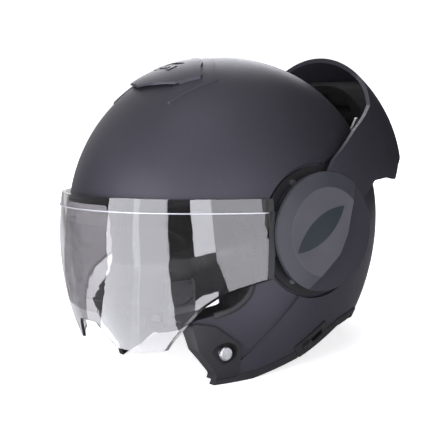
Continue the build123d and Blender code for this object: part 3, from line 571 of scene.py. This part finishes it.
def seam(distance, width, depth):
    """How deep a sewn channel is, this far from its line."""
    return depth * max(0.0, 1 - (distance / width) ** 2) ** 2


def crown_seams(point):
    """Two seams run front to back over the crown, and two cross them."""
    from_long = abs(abs(point.x) - 0.030)
    from_cross = min(abs(point.y + 0.052), abs(point.y - 0.040))
    return max(seam(from_long, 0.005, 0.0028), seam(from_cross, 0.005, 0.0024))


def cheek_seams(point):
    """A seam follows the cheek pad's lower edge, and one divides its face."""
    rearward = point.y + 0.03
    from_lower = abs(point.z + 0.052 + 0.25 * rearward)
    from_upper = abs(point.z + 0.012 - 0.15 * rearward)
    return max(seam(from_lower, 0.004, 0.0022), seam(from_upper, 0.004, 0.0018))


def roll_seams(point):
    """The roll is gathered every few centimetres along its length."""
    step = 0.034
    near = abs((point.x + step / 2) % step - step / 2)
    return seam(near, 0.0035, 0.0014)


pad("crown_pad", "crown_lining", 0.004, crown_seams)
pad("cheek_pad_left", "cheek_lining_left", 0.0035, cheek_seams)
pad("cheek_pad_right", "cheek_lining_right", 0.0035, cheek_seams)
pad("neck_roll", "nape_roll", 0.0035, roll_seams, puff=0.0006, smooth=3)


# Straps

# Corners of the strap's line, as shares of the shell's half width and crown height
strap_line = ((0.735, -0.705), (0.735, -0.785), (0.65, -0.82), (0.47, -0.80), (0.43, -0.46))
strap_y, strap_width, strap_thickness, strap_bend = -0.022, 0.022, 0.002, 0.004
strap_edge = 0.0006


def rounded_run(points, radius, steps=6):
    """A line of points with each corner turned through a short arc."""
    points = [Vector(point) for point in points]
    run = [points[0]]
    for before, corner, after in zip(points, points[1:], points[2:]):
        into, out = (before - corner).normalized(), (after - corner).normalized()
        reach = min(radius * 1.6, (before - corner).length / 2, (after - corner).length / 2)
        start, end = corner + into * reach, corner + out * reach
        for step in range(steps + 1):
            share = step / steps
            run.append(start.lerp(corner, share).lerp(corner.lerp(end, share), share))
    run.append(points[-1])
    return run


def strap(side, node, name):
    """Flat webbing along the strap's line, with its UV in metres across and along it."""
    line = rounded_run([(half_width * x, crown_height * z) for x, z in strap_line], strap_bend)
    shape = bmesh.new()
    uv = shape.loops.layers.uv.new("weave")
    reached = 0.0
    verts = [shape.verts.new((line[0].x, strap_y + strap_width * (share - 0.5), line[0].y))
             for share in (0, 0.12, 0.5, 0.88, 1)]
    edges = [shape.edges.new(pair) for pair in zip(verts, verts[1:])]
    place = {vertex: (vertex.co.y - strap_y, reached) for vertex in verts}
    for before, spot in zip(line, line[1:]):
        made = bmesh.ops.extrude_edge_only(shape, edges=edges)["geom"]
        verts = [item for item in made if isinstance(item, bmesh.types.BMVert)]
        edges = [item for item in made if isinstance(item, bmesh.types.BMEdge)]
        shift = spot - before
        bmesh.ops.translate(shape, verts=verts, vec=(shift.x, 0, shift.y))
        reached += shift.length
        for vertex in verts:
            place[vertex] = (vertex.co.y - strap_y, reached)
    for face in shape.faces:
        for loop in face.loops:
            loop[uv].uv = place[loop.vert]
    for vertex in shape.verts:
        spot = standing(vertex.co)
        vertex.co = (side * spot.x, spot.y, spot.z)
    bmesh.ops.recalc_face_normals(shape, faces=shape.faces)
    made = piece_from(shape, name, "strap_webbing")
    wall = made.modifiers.new("thickness", "SOLIDIFY")
    wall.thickness = strap_thickness
    wall.offset = 0
    edge = made.modifiers.new("edge", "BEVEL")
    edge.width = strap_edge
    edge.segments = 2
    edge.limit_method = "ANGLE"
    apply_modifiers(made)
    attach(made, "shell")
    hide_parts(node)


strap(1, "strap_left", "chin_strap_left")
strap(-1, "strap_right", "chin_strap_right")


# Edging of the face opening

# Corners of the edge, as shares of the shell's half length and crown height
opening_line = ((-0.62, 0.118), (-0.44, 0.05), (-0.40, -0.07), (-0.40, -0.36), (-0.47, -0.455),
                (-0.58, -0.50))
opening_bend, edging_inset, edging_radius = 0.008, 0.0022, 0.0026


def skin(y, z, inset):
    """How far out the shell's skin lies at a worn depth and height, less an inset."""
    side, front = half_width - inset, half_length - inset
    if z > 0:
        return side * (1 - ((y - form_middle) / front) ** 2 - (z / crown_height) ** 2) ** 0.5
    low_side = side * (1 - (z / side_drop) ** 2) ** 0.5
    low_front = front * (1 - (z / front_drop) ** 2) ** 0.5
    return low_side * (1 - ((y - form_middle) / low_front) ** 2) ** 0.5


def bead(name, points, radius, finish, body):
    """A round bead of one radius along standing points."""
    curve = bpy.data.curves.new(name, "CURVE")
    curve.dimensions = "3D"
    curve.bevel_depth = radius
    curve.bevel_resolution = 3
    curve.use_fill_caps = True
    run = curve.splines.new("POLY")
    run.points.add(len(points) - 1)
    for place, spot in zip(run.points, points):
        place.co = (*spot, 1)
    bent = bpy.data.objects.new(name, curve)
    bpy.context.collection.objects.link(bent)
    shape = bmesh.new()
    shape.from_mesh(evaluated_mesh(bent))
    bpy.data.objects.remove(bent)
    bmesh.ops.remove_doubles(shape, verts=shape.verts, dist=0.00001)
    bmesh.ops.recalc_face_normals(shape, faces=shape.faces)
    made = piece_from(shape, name, finish)
    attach(made, body)


def edging(side, name):
    """The rubber bead that finishes the shell's edge beside the face."""
    line = rounded_run([(half_length * y, crown_height * z) for y, z in opening_line],
                       opening_bend)
    points = [standing((side * skin(spot.x, spot.y, edging_inset), spot.x, spot.y))
              for spot in line]
    bead(name, points, edging_radius, finish="black_rubber", body="shell")


edging(1, "face_edging_left")
edging(-1, "face_edging_right")


# Lip of the visor, with a painted highlight

visor_side, visor_front = 0.1250, 0.1427
lip_height, lip_radius, lip_end, lip_steps = 0.0125, 0.0005, 1.27, 40


def visor_lip(name):
    """The moulded lip along the lower edge of the visor's thicker band, with a painted highlight
    for the light it catches.
    """
    turns = [lip_end * step / lip_steps for step in range(-lip_steps, lip_steps + 1)]
    points = [standing((visor_side * sin(turn), form_middle - visor_front * cos(turn),
                        lip_height)) for turn in turns]
    bead(name, points, lip_radius, finish="visor_lip", body="visor")


visor_lip("visor_lip")
